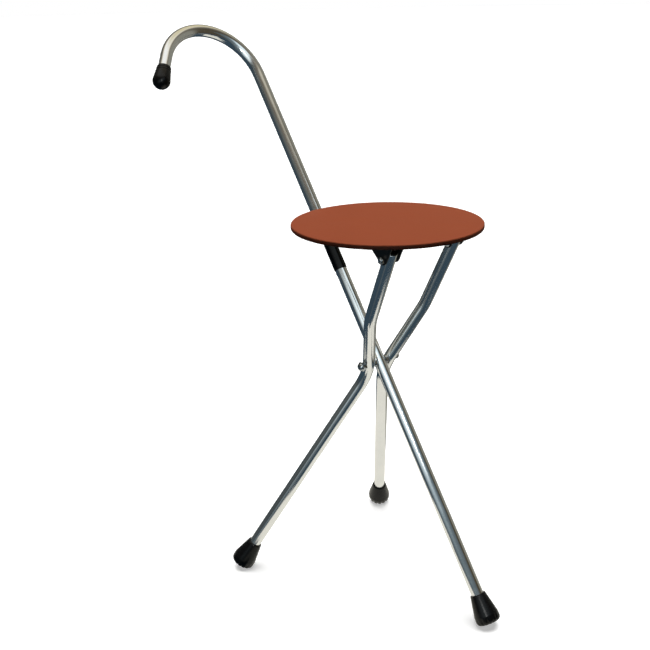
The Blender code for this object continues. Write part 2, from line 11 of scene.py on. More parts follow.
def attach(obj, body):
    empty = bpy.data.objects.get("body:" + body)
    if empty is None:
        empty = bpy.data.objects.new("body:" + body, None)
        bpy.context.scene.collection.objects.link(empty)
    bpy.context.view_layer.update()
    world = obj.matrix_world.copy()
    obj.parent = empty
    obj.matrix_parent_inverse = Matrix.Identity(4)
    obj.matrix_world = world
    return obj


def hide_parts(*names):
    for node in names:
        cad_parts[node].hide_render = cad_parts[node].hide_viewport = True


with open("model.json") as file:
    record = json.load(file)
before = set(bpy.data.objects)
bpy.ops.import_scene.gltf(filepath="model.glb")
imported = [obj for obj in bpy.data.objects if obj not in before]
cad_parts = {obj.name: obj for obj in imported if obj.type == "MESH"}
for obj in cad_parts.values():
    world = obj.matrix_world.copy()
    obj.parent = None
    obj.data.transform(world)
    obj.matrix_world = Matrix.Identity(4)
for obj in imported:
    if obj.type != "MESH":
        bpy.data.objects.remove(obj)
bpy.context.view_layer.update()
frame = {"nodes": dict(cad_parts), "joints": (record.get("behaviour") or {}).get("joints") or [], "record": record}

# Sizes in metres, the same as the solids'
CLEARANCE = 0.0003
TUBE_DIAMETER = 0.016
TUBE_WALL = 0.0012
CANE_UPPER_LENGTH = 0.4251
CROOK_RADIUS = 0.0735
CROOK_SWEEP = math.radians(147)
CROOK_TAIL = 0.046
HINGE_HALF_SPACING = 0.0579
UPPER_BEND_HEIGHT = 0.0821
UPPER_BEND_HALF_SPACING = 0.0502
LOWER_BEND_DEPTH = 0.0168
LOWER_BEND_HALF_SPACING = 0.013
FOOT_HALF_SPACING = 0.1422
BEND_RADIUS = 0.065
LEG_END_BEYOND_HINGE = 0.0097
SEAT_DIAMETER = 0.243
SEAT_THICKNESS = 0.006
SEAT_EDGE_RADIUS = 0.0015
SEAT_ABOVE_HINGE = 0.020
SEAT_RIM_PAST_SLEEVE_HINGE = 0.001
FERRULE_LENGTH = 0.039
FERRULE_MOUTH_DIAMETER = 0.020
FERRULE_FOOT_DIAMETER = 0.0322
FERRULE_EDGE_RADIUS = 0.0052
FERRULE_SHOULDER_HEIGHT = 0.011
FERRULE_SOLE = 0.010
FERRULE_WEAR = 0.0008
FERRULE_DISC_THICKNESS = 0.0015
CAP_LENGTH = 0.0322
CAP_MOUTH_DIAMETER = 0.0185
CAP_WIDEST_DIAMETER = 0.0233
CAP_DOME_HEIGHT = 0.011
CAP_END_WALL = 0.006
PIVOT_BOLT_DIAMETER = 0.006
PIVOT_HEAD_DIAMETER = 0.0105
PIVOT_HEAD_HEIGHT = 0.004
PIVOT_WASHER_DIAMETER = 0.010
PIVOT_WASHER_LEAST = 0.0006
PIVOT_SPACER_DIAMETER = 0.010
CAP_NUT_WIDTH = 0.0112
CAP_NUT_HEX_HEIGHT = 0.0032
CAP_NUT_HEIGHT = 0.0066
CAP_NUT_CROWN = 0.0016
CAP_NUT_DOME_DIAMETER = 0.0105
STRIP_THICKNESS = 0.002
BRACKET_INNER_LENGTH = 0.026
BRACKET_OUTER_LENGTH = 0.015
BRACKET_SIDE_GAP = 0.0015
EAR_RADIUS = 0.006
HINGE_BOLT_DIAMETER = 0.005
HINGE_HEAD_DIAMETER = 0.009
HINGE_HEAD_HEIGHT = 0.0032
HINGE_NUT_WIDTH = 0.008
HINGE_NUT_HEIGHT = 0.004
HINGE_BOLT_PROUD = 0.0008
SCREW_DIAMETER = 0.0035
SCREW_HEAD_DIAMETER = 0.0068
SCREW_HEAD_HEIGHT = 0.002
SCREW_DEPTH = 0.0038
SCREW_SPACING = 0.022
PLUG_LENGTH = 0.014
PLUG_FLANGE = 0.0015
SLEEVE_WALL = 0.0005
SLEEVE_BELOW_HINGE = 0.0626
SLEEVE_ABOVE_HINGE = 0.012
COLLAR_DIAMETER = 0.024
COLLAR_HALF_LENGTH = 0.009
COLLAR_CHAMFER = 0.0015
COLLAR_SIDE_GAP = 0.0008
SLIDE_BRACKET_LENGTH = 0.038
SLIDE_BRACKET_SETBACK = 0.004
TRUNNION_DIAMETER = 0.004
TRUNNION_HEAD_DIAMETER = 0.008
TRUNNION_HEAD_HEIGHT = 0.0024
RIVET_DIAMETER = 0.004
RIVET_HEAD_DIAMETER = 0.007
RIVET_HEAD_HEIGHT = 0.0022

# Finer details that only the looks have
TUBE_RIM_ROUND = 0.0004
SEAT_GROOVE_RADIUS = 0.1165
SEAT_GROOVE_WIDTH = 0.0012
SEAT_GROOVE_DEPTH = 0.0005
SEAT_GATE_RADIUS = 0.006
FERRULE_LIP_ROUND = 0.0006
FERRULE_SHOULDER_ROUND = 0.006
FERRULE_RING_WIDTH = 0.0016
FERRULE_RING_DEPTH = 0.0012
FERRULE_RING_RADII = (0.0035, 0.0075)
TREAD_NOTCHES = 14
TREAD_NOTCH_DEPTH = 0.0012
TREAD_NOTCH_HEIGHT = 0.0066
CAP_GROOVE_DEPTH = 0.0004
CAP_GROOVE_WIDTH = 0.0016
CAP_GROOVE_OFFSETS = (0.0080, 0.0048)
CAP_LIP_ROUND = 0.0005
STRIP_BEND_RADIUS = 0.0025
EDGE_BREAK = 0.0003
SLOT_WIDTH = 0.0011
SLOT_DEPTH = 0.0009
THREAD_PITCH = 0.0008
THREAD_DEPTH = 0.0003
NUT_FACE_SHARE = 0.97
NUT_CHAMFER = 0.0004
CAP_NUT_FACE_SHARE = 0.99
CAP_NUT_CHAMFER = 0.000384
CAP_NUT_TIP_RADIUS = 0.000105
SLEEVE_LIP_ROUND = 0.0003
COLLAR_FILLET = 0.0012

# Camera, measured from the pivot bolt; the picture is square and its size is in pixels
PICTURE_SIZE = 650
FOCAL_PIXELS = 1017.58
SENSOR_WIDTH = 36
CAMERA_FROM_PIVOT = Vector((-0.8914, 0.89935, 0.47742))
TARGET_FROM_PIVOT = Vector((0.10606, 0, 0.02481))
CAMERA_ROLL = -0.02099

# Studio: linear colours, shades by elevation in degrees; a card is two of its corners on the floor
STUDIO_RADIUS = 30
FLOOR_GAP = 0.0002
FLOOR_GLOW = 0.45
BACKDROP_GLOW = 1.0
CARDS = (((-0.24, -0.30), (0.40, 0.14)), ((-0.33, -0.18), (-0.24, 0.08)), ((-0.08, 0.14), (0.04, 0.28)))
CARD_COLOUR = (0.82, 0.80, 0.71)
STUDIO_SHADES = ((-90, (0.034, 0.060, 0.084)), (-12, (0.036, 0.060, 0.080)), (0, (0.055, 0.066, 0.070)),
                 (18, (0.115, 0.128, 0.122)), (38, (0.150, 0.130, 0.105)), (46, (0.180, 0.160, 0.125)),
                 (54, (0.62, 0.58, 0.46)), (62, (0.95, 0.93, 0.85)), (80, (1.0, 1.0, 0.97)))

# Soft boxes: azimuth, elevation, angles of the core and of the faded edge, then the colour
SOFT_BOXES = (((208, 0, 26, 52), (0.072, 0.058, 0.036)),
              ((268, 2, 40, 52), (0.25, 0.245, 0.205)),
              ((292, 62, 8, 32), (0.70, 0.63, 0.42)))

# Curved soft box round the front: azimuths in degrees, heights of its middle above the floor
BAND_DISTANCE = 1.4
BAND_AZIMUTHS = (78, 200)
BAND_HEIGHTS = (-0.223, 1.583)
BAND_HALF_HEIGHT = 0.775
BAND_STEPS = 60
BAND_SHADES = ((0.0, (0.085, 0.100, 0.105)), (0.387, (0.13, 0.17, 0.19)), (0.505, (0.28, 0.36, 0.40)),
               (0.603, (0.90, 1.04, 1.08)), (0.968, (0.95, 1.06, 1.08)), (1.0, (0.25, 0.26, 0.25)))
BAND_FADES = ((0.30, 0), (0.88, 1))

# Soft light from above: its direction and spread are in degrees
SUN_AZIMUTH = 315
SUN_ELEVATION = 84
SUN_SPREAD = 50
SUN_STRENGTH = 3.8

# Small flash beside the lens, in watts, that gives the glints
FLASH_POWER = 8
FLASH_RADIUS = 0.05

# Smoothness: sides and steps of round forms
TUBE_SIDES = 64
TURNED_SIDES = 64
SEAT_SIDES = 192
SMALL_SIDES = 40
NUT_SIDES = 72
STUDIO_SIDES = 96
TREAD_STEPS = 6
TREAD_CUT_STEPS = 2
DOME_STEPS = 10
CAP_DOME_STEPS = 14
RIVET_DIMPLE_STEP = 3
BEND_STEP = math.radians(2.5)
ARC_STEP = math.radians(12)
SMOOTH_ANGLE = math.radians(38)

# Worked-out sizes and places
TUBE_RADIUS = TUBE_DIAMETER / 2
BORE_RADIUS = TUBE_RADIUS - TUBE_WALL
SOCKET_RADIUS = TUBE_RADIUS + CLEARANCE
HEXAGON_RATIO = math.cos(math.radians(30))
BRACKET_TOP = SEAT_ABOVE_HINGE - CLEARANCE
BRACKET_BASE = BRACKET_TOP - STRIP_THICKNESS
BRACKET_HALF_GAP = TUBE_RADIUS + BRACKET_SIDE_GAP
SLIDE_HALF_GAP = COLLAR_DIAMETER / 2 + COLLAR_SIDE_GAP
X_AXIS = Vector((1, 0, 0))
Y_AXIS = Vector((0, 1, 0))
Z_AXIS = Vector((0, 0, 1))

# Frames on the joints: the cane and the sleeve lean to +X, the legs lean to -X, the seat is level
joint_places = {joint["name"]: Vector(joint["pos_m"]) for joint in frame["joints"]}
PIVOT = joint_places["fold"]
LEG_HINGE = joint_places["seat_hinge"]
SLEEVE_HINGE = joint_places["sleeve_hinge"]
FOLD_ARM_LENGTH = SLEEVE_HINGE.x - LEG_HINGE.x
CANE_TILT = math.atan2(SLEEVE_HINGE.x - PIVOT.x, SLEEVE_HINGE.z - PIVOT.z)
LEG_TILT = math.atan2(PIVOT.x - LEG_HINGE.x, LEG_HINGE.z - PIVOT.z)
SLEEVE_HINGE_HEIGHT = (SLEEVE_HINGE - PIVOT).length
SEAT_CENTRE_FROM_HINGE = FOLD_ARM_LENGTH + SEAT_RIM_PAST_SLEEVE_HINGE - SEAT_DIAMETER / 2
CANE_BELOW_PIVOT = PIVOT.z / math.cos(CANE_TILT)
LEG_BELOW_PIVOT = PIVOT.z / math.cos(LEG_TILT)
CANE_FRAME = Matrix.Translation(PIVOT) @ Matrix.Rotation(CANE_TILT, 4, "Y")
LEG_FRAME = Matrix.Translation(PIVOT) @ Matrix.Rotation(-LEG_TILT, 4, "Y")
SEAT_FRAME = Matrix.Translation(LEG_HINGE)
SLEEVE_FRAME = Matrix.Translation(SLEEVE_HINGE) @ Matrix.Rotation(CANE_TILT, 4, "Y")


# Materials

def start_material(name, colour, roughness, metallic=0):
    """Material with a Principled shader; returns the material, its node tree and the shader."""
    material = bpy.data.materials.new(name)
    material.use_nodes = True
    material.diffuse_color = (*colour, 1)
    tree = material.node_tree
    shader = tree.nodes["Principled BSDF"]
    shader.inputs["Base Color"].default_value = (*colour, 1)
    shader.inputs["Roughness"].default_value = roughness
    shader.inputs["Metallic"].default_value = metallic
    return material, tree, shader


def add_node(tree, kind, inputs, **settings):
    """Node of a kind; an input that is a socket is linked, and any other is set on the node."""
    node = tree.nodes.new(kind)
    for name, value in settings.items():
        setattr(node, name, value)
    for name, value in inputs.items():
        if isinstance(value, bpy.types.NodeSocket):
            tree.links.new(value, node.inputs[name])
        else:
            node.inputs[name].default_value = value
    return node


def coordinates(tree, source):
    """Object, UV or world coordinates."""
    return add_node(tree, "ShaderNodeTexCoord", {}).outputs[source]


def noise(tree, vector, scale, detail, rough):
    """Value of a noise texture."""
    inputs = {"Vector": vector, "Scale": scale, "Detail": detail, "Roughness": rough}
    return add_node(tree, "ShaderNodeTexNoise", inputs).outputs["Fac"]


def even_noise(tree, scale, detail, rough):
    """Noise that is the same along each axis of the object."""
    return noise(tree, coordinates(tree, "Object"), scale, detail, rough)


def spread(tree, value, low, high, to_low, to_high):
    """Map a texture's range to another range."""
    inputs = {"Value": value, "From Min": low, "From Max": high, "To Min": to_low, "To Max": to_high}
    return add_node(tree, "ShaderNodeMapRange", inputs).outputs[0]


def graded(tree, value, shades):
    """Colour from a row of (position, shade)."""
    ramp = add_node(tree, "ShaderNodeValToRGB", {"Fac": value})
    elements = ramp.color_ramp.elements
    while len(elements) < len(shades):
        elements.new(0.5)
    for element, (position, shade) in zip(elements, shades):
        element.position = position
        element.color = (*shade, 1)
    return ramp.outputs["Color"]


def shade_between(tree, value, first, second):
    """Colour that a texture blends from one shade to another."""
    return graded(tree, value, ((0.3, first), (0.7, second)))


def combine(tree, operation, first, second):
    """Sum, product or the like of two textures."""
    return add_node(tree, "ShaderNodeMath", {0: first, 1: second}, operation=operation).outputs[0]


def add_bump(tree, shader, height, depth, strength=1):
    """Surface relief of a depth in metres."""
    bump = add_node(tree, "ShaderNodeBump", {"Height": height, "Distance": depth, "Strength": strength})
    tree.links.new(bump.outputs["Normal"], shader.inputs["Normal"])


def polished_aluminium():
    """Drawn and polished tube: fine lines along it, faint hand marks, a few duller patches."""
    material, tree, shader = start_material("polished_aluminium", (0.86, 0.87, 0.88), 0.14, 1)
    inputs = {"Vector": coordinates(tree, "UV"), "Scale": (2600, 9, 1)}
    along_tube = add_node(tree, "ShaderNodeMapping", inputs).outputs[0]
    lines = noise(tree, along_tube, 1, 4, 0.6)
    marks = even_noise(tree, 34, 5, 0.6)
    shade = shade_between(tree, marks, (0.83, 0.84, 0.85), (0.89, 0.895, 0.90))
    tree.links.new(shade, shader.inputs["Base Color"])
    line_part = spread(tree, lines, 0.3, 0.7, 0.10, 0.16)
    mark_part = spread(tree, marks, 0.35, 0.75, 0.0, 0.08)
    tree.links.new(combine(tree, "ADD", line_part, mark_part), shader.inputs["Roughness"])
    add_bump(tree, shader, lines, 0.000004)
    return material


def satin_plastic():
    """Orange-brown moulding with a fine satin grain."""
    material, tree, shader = start_material("satin_plastic", (0.35, 0.09, 0.042), 0.4)
    cloud = even_noise(tree, 14, 4, 0.55)
    grain = even_noise(tree, 1700, 2, 0.5)
    shade = shade_between(tree, cloud, (0.243, 0.056, 0.0235), (0.258, 0.061, 0.0270))
    tree.links.new(shade, shader.inputs["Base Color"])
    shader.inputs["Specular IOR Level"].default_value = 0.12
    tree.links.new(spread(tree, cloud, 0.3, 0.7, 0.58, 0.66), shader.inputs["Roughness"])
    add_bump(tree, shader, grain, 0.00003, 0.6)
    return material


def moulded_rubber():
    """Black rubber: fine pitted skin, a little grey where it is rubbed."""
    material, tree, shader = start_material("moulded_rubber", (0.010, 0.010, 0.011), 0.42)
    cloud = even_noise(tree, 160, 5, 0.6)
    pits = even_noise(tree, 1500, 3, 0.6)
    shade = shade_between(tree, cloud, (0.0025, 0.0025, 0.003), (0.005, 0.005, 0.0055))
    tree.links.new(shade, shader.inputs["Base Color"])
    shader.inputs["Specular IOR Level"].default_value = 0.25
    tree.links.new(spread(tree, cloud, 0.3, 0.7, 0.22, 0.32), shader.inputs["Roughness"])
    add_bump(tree, shader, pits, 0.00005, 0.6)
    return material


def black_plastic():
    """Black moulding that is rubbed along the way it slides."""
    material, tree, shader = start_material("black_plastic", (0.012, 0.012, 0.013), 0.33)
    inputs = {"Vector": coordinates(tree, "Object"), "Rotation": (0, CANE_TILT, 0),
              "Scale": (0.0011, 0.0011, 0.04)}
    along_cane = add_node(tree, "ShaderNodeMapping", inputs, vector_type="TEXTURE").outputs[0]
    rub = noise(tree, along_cane, 1, 3, 0.5)
    cloud = even_noise(tree, 120, 4, 0.5)
    shade = shade_between(tree, cloud, (0.004, 0.004, 0.0045), (0.008, 0.008, 0.009))
    tree.links.new(shade, shader.inputs["Base Color"])
    shader.inputs["Specular IOR Level"].default_value = 0.2
    tree.links.new(spread(tree, rub, 0.3, 0.7, 0.12, 0.22), shader.inputs["Roughness"])
    add_bump(tree, shader, rub, 0.00001, 0.7)
    return material


def painted_steel():
    """Black coating with a fine orange peel, worn to grey on its sharp edges."""
    material, tree, shader = start_material("painted_steel", (0.012, 0.012, 0.013), 0.38)
    peel = even_noise(tree, 900, 2, 0.5)
    cloud = even_noise(tree, 220, 5, 0.6)
    edges = add_node(tree, "ShaderNodeNewGeometry", {}).outputs["Pointiness"]
    edge_part = spread(tree, edges, 0.56, 0.68, 0, 1)
    worn = combine(tree, "MULTIPLY", edge_part, spread(tree, cloud, 0.45, 0.65, 0, 1))
    shade = shade_between(tree, worn, (0.005, 0.005, 0.0055), (0.08, 0.08, 0.085))
    tree.links.new(shade, shader.inputs["Base Color"])
    tree.links.new(spread(tree, cloud, 0.3, 0.7, 0.32, 0.46), shader.inputs["Roughness"])
    add_bump(tree, shader, peel, 0.00004, 0.6)
    return material


def zinc_plate():
    """Zinc plated steel with a cloudy grey bloom and fine tool marks."""
    material, tree, shader = start_material("zinc_plate", (0.45, 0.47, 0.49), 0.28, 1)
    cloud = even_noise(tree, 420, 5, 0.6)
    shade = shade_between(tree, cloud, (0.42, 0.44, 0.46), (0.58, 0.60, 0.62))
    tree.links.new(shade, shader.inputs["Base Color"])
    tree.links.new(spread(tree, cloud, 0.3, 0.7, 0.10, 0.20), shader.inputs["Roughness"])
    add_bump(tree, shader, cloud, 0.00002, 0.5)
    return material


FINISHES = {
    "tube": polished_aluminium(),
    "seat": satin_plastic(),
    "rubber": moulded_rubber(),
    "black_plastic": black_plastic(),
    "bracket": painted_steel(),
    "fastener": zinc_plate(),
}
bodies = frame["record"]["behaviour"]["bodies"]
BODY_OF_NODE = {node: body for body, nodes in bodies.items() for node in nodes}
SLOT_OF_NODE = {part["node"]: part["material_slot"] for part in frame["record"]["subparts"]}


# Building blocks

def aligned(origin, direction):
    """Matrix that carries the local +Z axis to a direction at an origin."""
    turn = direction.to_track_quat("Z", "Y").to_matrix().to_4x4()
    return Matrix.Translation(origin) @ turn


def moved(shape, place):
    """Shape carried to a place by a matrix."""
    bmesh.ops.transform(shape, matrix=place, verts=shape.verts)
    return shape


def rounded(points):
    """Profile whose corners, given as (radius, height, corner radius), are rounded."""
    corners = [(Vector(point[:2]), point[2] if len(point) > 2 else 0) for point in points]
    profile = [corners[0][0]]
    for (before, _), (corner, radius), (after, _) in zip(corners, corners[1:], corners[2:]):
        back = (before - corner).normalized()
        ahead = (after - corner).normalized()
        opening = back.angle(ahead)
        turn = math.pi - opening
        if radius == 0 or turn < ARC_STEP / 2:
            profile.append(corner)
            continue
        reach = radius / math.tan(opening / 2)
        middle = corner + (back + ahead).normalized() * radius / math.sin(opening / 2)
        start = corner + back * reach - middle
        steps = max(2, math.ceil(turn / ARC_STEP))
        way = 1 if back.x * ahead.y - back.y * ahead.x < 0 else -1
        for i in range(steps + 1):
            angle = way * turn * i / steps
            swing = Matrix.Rotation(angle, 2)
            profile.append(middle + swing @ start)
    profile.append(corners[-1][0])
    return profile


def turned(points, sides=TURNED_SIDES):
    """Body turned about Z from profile points of (radius, height) with an optional corner radius."""
    shape = bmesh.new()
    profile = rounded(points)
    verts = [shape.verts.new((point[0], 0, point[1])) for point in profile]
    edges = [shape.edges.new(pair) for pair in zip(verts, verts[1:])]
    bmesh.ops.spin(shape, geom=verts + edges, axis=Z_AXIS, cent=(0, 0, 0), angle=2 * math.pi, steps=sides,
                   use_merge=True)
    bmesh.ops.remove_doubles(shape, verts=shape.verts, dist=1e-7)
    bmesh.ops.recalc_face_normals(shape, faces=shape.faces)
    return shape


def rod(radius, start, end):
    """Plain round tool between two points, for cutting holes."""
    along = end - start
    profile = [(0, 0), (radius, 0), (radius, along.length), (0, along.length)]
    return moved(turned(profile, SMALL_SIDES), aligned(start, along.normalized()))


def prism(outline, depth):
    """Flat outline of points, extruded by a vector."""
    shape = bmesh.new()
    face = shape.faces.new([shape.verts.new(point) for point in outline])
    grown = bmesh.ops.extrude_face_region(shape, geom=[face])
    far = [item for item in grown["geom"] if isinstance(item, bmesh.types.BMVert)]
    bmesh.ops.translate(shape, verts=far, vec=depth)
    bmesh.ops.recalc_face_normals(shape, faces=shape.faces)
    return shape


def join_rings(shape, first, second):
    """Band of faces between two rings of as many vertices."""
    faces = []
    for i, vert in enumerate(first):
        j = (i + 1) % len(first)
        faces.append(shape.faces.new((vert, first[j], second[j], second[i])))
    return faces


def outlined(rings, sides):
    """Body of rings of (height, limit, width): a hexagon cut to a circle, or a circle if its width is 0."""
    shape = bmesh.new()
    loops = []
    for height, limit, width in rings:
        loop = []
        for i in range(sides):
            angle = 2 * math.pi * i / sides
            radius = limit
            if width:
                turn = (angle + math.pi / 6) % (math.pi / 3) - math.pi / 6
                radius = min(limit, width / 2 / math.cos(turn))
            loop.append(shape.verts.new((radius * math.cos(angle), radius * math.sin(angle), height)))
        loops.append(loop)
    for first, second in zip(loops, loops[1:] + loops[:1]):
        join_rings(shape, first, second)
    bmesh.ops.recalc_face_normals(shape, faces=shape.faces)
    return shape


def bend(start, arrive, inward, radius, turn):
    """Points and directions round a bend, from its first point to its last."""
    steps = max(2, math.ceil(turn / BEND_STEP))
    centre = start + inward * radius
    path = []
    for i in range(steps + 1):
        angle = turn * i / steps
        point = centre - inward * radius * math.cos(angle) + arrive * radius * math.sin(angle)
        path.append((point, arrive * math.cos(angle) + inward * math.sin(angle)))
    return path


def rounded_path(corners, radius):
    """Straight runs between corners, with a round bend at each inner corner."""
    path = [(corners[0], (corners[1] - corners[0]).normalized())]
    for before, corner, after in zip(corners, corners[1:], corners[2:]):
        arrive = (corner - before).normalized()
        leave = (after - corner).normalized()
        turn = arrive.angle(leave)
        inward = (leave - arrive * arrive.dot(leave)).normalized()
        start = corner - arrive * radius * math.tan(turn / 2)
        path += bend(start, arrive, inward, radius, turn)
    path.append((corners[-1], (corners[-1] - corners[-2]).normalized()))
    return path


def add_ring(shape, point, way, radius):
    """Ring of vertices square to a way in the YZ plane."""
    side = way.cross(X_AXIS)
    ring = []
    for i in range(TUBE_SIDES):
        angle = 2 * math.pi * i / TUBE_SIDES
        spoke = math.cos(angle) * X_AXIS + math.sin(angle) * side
        ring.append(shape.verts.new(point + radius * spoke))
    return ring


def swept_tube(path):
    """Tube with rounded rims along a path in the YZ plane; its UVs are metres round it and along it."""
    shape = bmesh.new()
    layer = shape.loops.layers.uv.new("UVMap")
    first, first_way = path[0]
    last, last_way = path[-1]
    soft = TUBE_RIM_ROUND
    outside = [(point, way, TUBE_RADIUS) for point, way in path]
    outside[0] = (first + first_way * soft, first_way, TUBE_RADIUS)
    outside[-1] = (last - last_way * soft, last_way, TUBE_RADIUS)
    outside.insert(0, (first, first_way, TUBE_RADIUS - soft))
    outside.append((last, last_way, TUBE_RADIUS - soft))
    inside = [(point, way, BORE_RADIUS) for point, way in reversed(path)]
    rings = []
    lengths = []
    length = 0
    before = first
    for point, way, radius in outside + inside:
        length += (point - before).length
        before = point
        lengths.append(length)
        rings.append(add_ring(shape, point, way, radius))
    arc = 2 * math.pi * TUBE_RADIUS / TUBE_SIDES
    for k, ring in enumerate(rings):
        following = (k + 1) % len(rings)
        near = lengths[k]
        far = lengths[following] if following else length
        for i, face in enumerate(join_rings(shape, ring, rings[following])):
            for loop, place in zip(face.loops, ((i, near), (i + 1, near), (i + 1, far), (i, far))):
                loop[layer].uv = (place[0] * arc, place[1])
    bmesh.ops.recalc_face_normals(shape, faces=shape.faces)
    return shape


def bar_along(path, radius):
    """Solid bar along a path, for cutting saddles."""
    shape = bmesh.new()
    rings = [add_ring(shape, point, way, radius) for point, way in path]
    for near, far in zip(rings, rings[1:]):
        join_rings(shape, near, far)
    shape.faces.new(rings[0])
    shape.faces.new(rings[-1])
    bmesh.ops.recalc_face_normals(shape, faces=shape.faces)
    return shape


def add_object(name, data):
    """Object of a mesh, light or camera, in the scene."""
    made = bpy.data.objects.new(name, data)
    bpy.context.collection.objects.link(made)
    return made


def carve(shape, tool, operation="DIFFERENCE"):
    """Shape with a tool cut out of it, or cut down to what both hold."""
    items = []
    for source in (shape, tool):
        mesh = bpy.data.meshes.new("carving")
        source.to_mesh(mesh)
        source.free()
        items.append(add_object("carving", mesh))
    target, cutter = items
    modifier = target.modifiers.new("carve", "BOOLEAN")
    modifier.operation = operation
    modifier.solver = "EXACT"
    modifier.object = cutter
    bpy.context.view_layer.update()
    evaluated = target.evaluated_get(bpy.context.evaluated_depsgraph_get())
    result = bmesh.new()
    result.from_mesh(evaluated.to_mesh())
    for item in items:
        mesh = item.data
        bpy.data.objects.remove(item)
        bpy.data.meshes.remove(mesh)
    return result


def soften(shape, width):
    """Break the sharp edges of a shape."""
    sharp = [edge for edge in shape.edges if edge.is_manifold and edge.calc_face_angle(0) > SMOOTH_ANGLE]
    bmesh.ops.bevel(shape, geom=sharp, offset=width, segments=2, profile=0.5, affect="EDGES",
                    clamp_overlap=True)
    return shape


def smooth_mesh(name, shape, material):
    """Mesh of a shape, with a material and smooth shading."""
    mesh = bpy.data.meshes.new(name)
    shape.to_mesh(mesh)
    shape.free()
    mesh.materials.append(material)
    mesh.shade_smooth()
    return mesh


def show(node, shape, place):
    """Piece that stands for a CAD node, on its body and with its finish."""
    name = node + "_finished"
    slot = SLOT_OF_NODE[node]
    mesh = smooth_mesh(name, shape, FINISHES[slot])
    mesh.transform(place)
    mesh.set_sharp_from_angle(angle=SMOOTH_ANGLE)
    made = add_object(name, mesh)
    bpy.context.view_layer.update()
    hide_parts(node)
    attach(made, BODY_OF_NODE[node])
    return made


# Fasteners

def domed(radius, height, steps=DOME_STEPS):
    """Profile of a dome, from its crown on the axis at height 0 out to its rim."""
    points = []
    for i in range(steps + 1):
        angle = math.pi / 2 * i / steps
        points.append((radius * math.sin(angle), height * (1 - math.cos(angle))))
    return points


def cross_recess(width, reach, depth):
    """Cross-shaped tool that enters from -Z."""
    half = width / 2
    arm = [(reach, -half), (reach, half), (half, half)]
    corners = []
    for _ in range(4):
        corners += arm
        arm = [(-y, x) for x, y in arm]
    return prism([Vector((x, y, -reach)) for x, y in corners], Z_AXIS * (reach + depth))


def thread(radius, start, end):
    """Profile points of a thread's turns between two heights."""
    turns = max(1, round((end - start) / THREAD_PITCH))
    pitch = (end - start) / turns
    points = []
    for i in range(turns):
        points.append((radius - THREAD_DEPTH, start + pitch * i))
        points.append((radius, start + pitch * (i + 0.5)))
    points.append((radius - THREAD_DEPTH, end))
    return points


def bolt(head_diameter, head_height, diameter, length, thread_length):
    """Round-headed bolt with a cross recess, its shank along +Z from under its head at height 0."""
    radius = diameter / 2
    profile = [(r, h - head_height) for r, h in domed(head_diameter / 2, head_height)]
    profile.append((radius, 0))
    profile.append((radius, length - thread_length))
    profile += thread(radius, length - thread_length, length - THREAD_PITCH / 2)
    profile += [(radius - 2 * THREAD_DEPTH, length), (0, length)]
    recess = cross_recess(SLOT_WIDTH, head_diameter / 4, SLOT_DEPTH)
    return carve(turned(profile, SMALL_SIDES), moved(recess, Matrix.Translation(-Z_AXIS * head_height)))


def hexagon_nut(width, height, bore):
    """Nut with rounded-off corners, from height 0 upwards along +Z."""
    corner = width / HEXAGON_RATIO / 2
    flat = NUT_FACE_SHARE * width / 2
    rings = [(0, flat, width), (NUT_CHAMFER, corner, width),
             (height - NUT_CHAMFER, corner, width), (height, flat, width),
             (height, bore + EDGE_BREAK, 0), (height - EDGE_BREAK, bore, 0),
             (EDGE_BREAK, bore, 0), (0, bore + EDGE_BREAK, 0)]
    return outlined(rings, NUT_SIDES)


def cap_nut(bore, bore_depth):
    """Domed nut, from height 0 upwards along +Z."""
    corner = CAP_NUT_WIDTH / HEXAGON_RATIO / 2
    flat = CAP_NUT_FACE_SHARE * CAP_NUT_WIDTH / 2
    tip = CAP_NUT_TIP_RADIUS
    rings = [(0, flat, CAP_NUT_WIDTH), (CAP_NUT_CHAMFER, corner, CAP_NUT_WIDTH),
             (CAP_NUT_HEX_HEIGHT - CAP_NUT_CHAMFER, corner, CAP_NUT_WIDTH),
             (CAP_NUT_HEX_HEIGHT, flat, CAP_NUT_WIDTH)]
    for radius, depth in reversed(domed(CAP_NUT_DOME_DIAMETER / 2, CAP_NUT_HEIGHT - CAP_NUT_HEX_HEIGHT)):
        rings.append((CAP_NUT_HEIGHT - depth, max(radius, tip), 0))
    rings += [(bore_depth, tip, 0), (bore_depth, bore, 0), (EDGE_BREAK, bore, 0), (0, bore + EDGE_BREAK, 0)]
    return outlined(rings, NUT_SIDES)


# Feet and handle cap

def ferrule_sole(up, floor_normal):
    """Heights along a ferrule's axis of its sole and of the tube's end, when it stands on its worn edge."""
    lean = up.angle(floor_normal)
    rim = FERRULE_FOOT_DIAMETER / 2 - FERRULE_EDGE_RADIUS
    edge_height = FERRULE_EDGE_RADIUS * (math.cos(lean) - 1) - rim * math.sin(lean)
    lift = (-edge_height - FERRULE_WEAR) / math.cos(lean)
    return lift, lift + FERRULE_SOLE + FERRULE_DISC_THICKNESS + 2 * CLEARANCE


